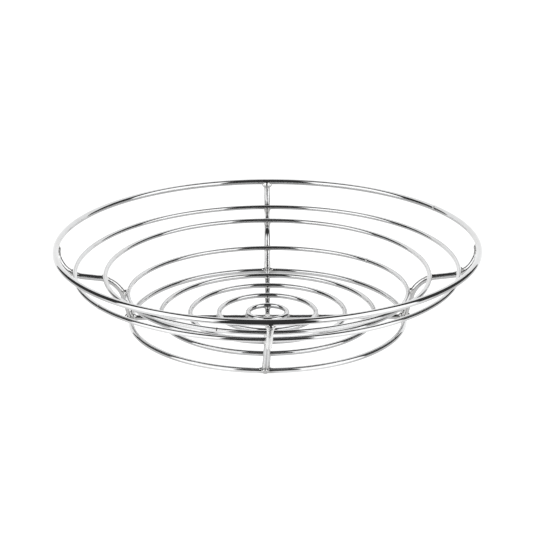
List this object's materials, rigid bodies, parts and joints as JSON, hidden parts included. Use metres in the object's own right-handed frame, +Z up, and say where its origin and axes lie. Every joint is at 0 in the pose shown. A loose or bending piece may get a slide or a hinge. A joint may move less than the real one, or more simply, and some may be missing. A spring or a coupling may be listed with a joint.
{
  "type": "wire bowl",
  "caption": "Round chrome-plated wire bowl: rim and side rings on bent ribs, concentric floor rings on cross wires, and a ring foot.",
  "frame": {"origin": "centre of the foot ring, in the plane it rests on", "axes": "+Z up along the bowl's axis, +X to the right along the one-piece cross wire, +Y to the back"},
  "size_m": [0.3095, 0.3094, 0.0605],
  "materials": {
    "chrome_wire": "bright",
    "chrome_weld": "bright"
  },
  "bodies": {
    "root": {"rim_ring": "chrome_wire", "side_ring_upper": "chrome_wire", "side_ring_middle": "chrome_wire", "side_ring_lower": "chrome_wire", "foot_ring": "chrome_wire", "floor_ring_outer": "chrome_wire", "floor_ring_second": "chrome_wire", "floor_ring_third": "chrome_wire", "floor_ring_centre": "chrome_wire", "rib_right": "chrome_wire", "rib_back": "chrome_wire", "rib_left": "chrome_wire", "rib_front": "chrome_wire", "cross_wire_left_right": "chrome_wire", "cross_wire_back_half": "chrome_wire", "cross_wire_front_half": "chrome_wire", "rim_rib_welds": "chrome_weld", "upper_ring_welds": "chrome_weld", "middle_ring_welds": "chrome_weld", "lower_ring_welds": "chrome_weld", "foot_joint_welds": "chrome_weld", "cross_centre_welds": "chrome_weld", "floor_ring_outer_welds": "chrome_weld", "floor_ring_second_welds": "chrome_weld", "floor_ring_third_welds": "chrome_weld", "floor_ring_centre_welds": "chrome_weld", "ring_butt_seams": "chrome_weld"}
  },
  "joints": []
}
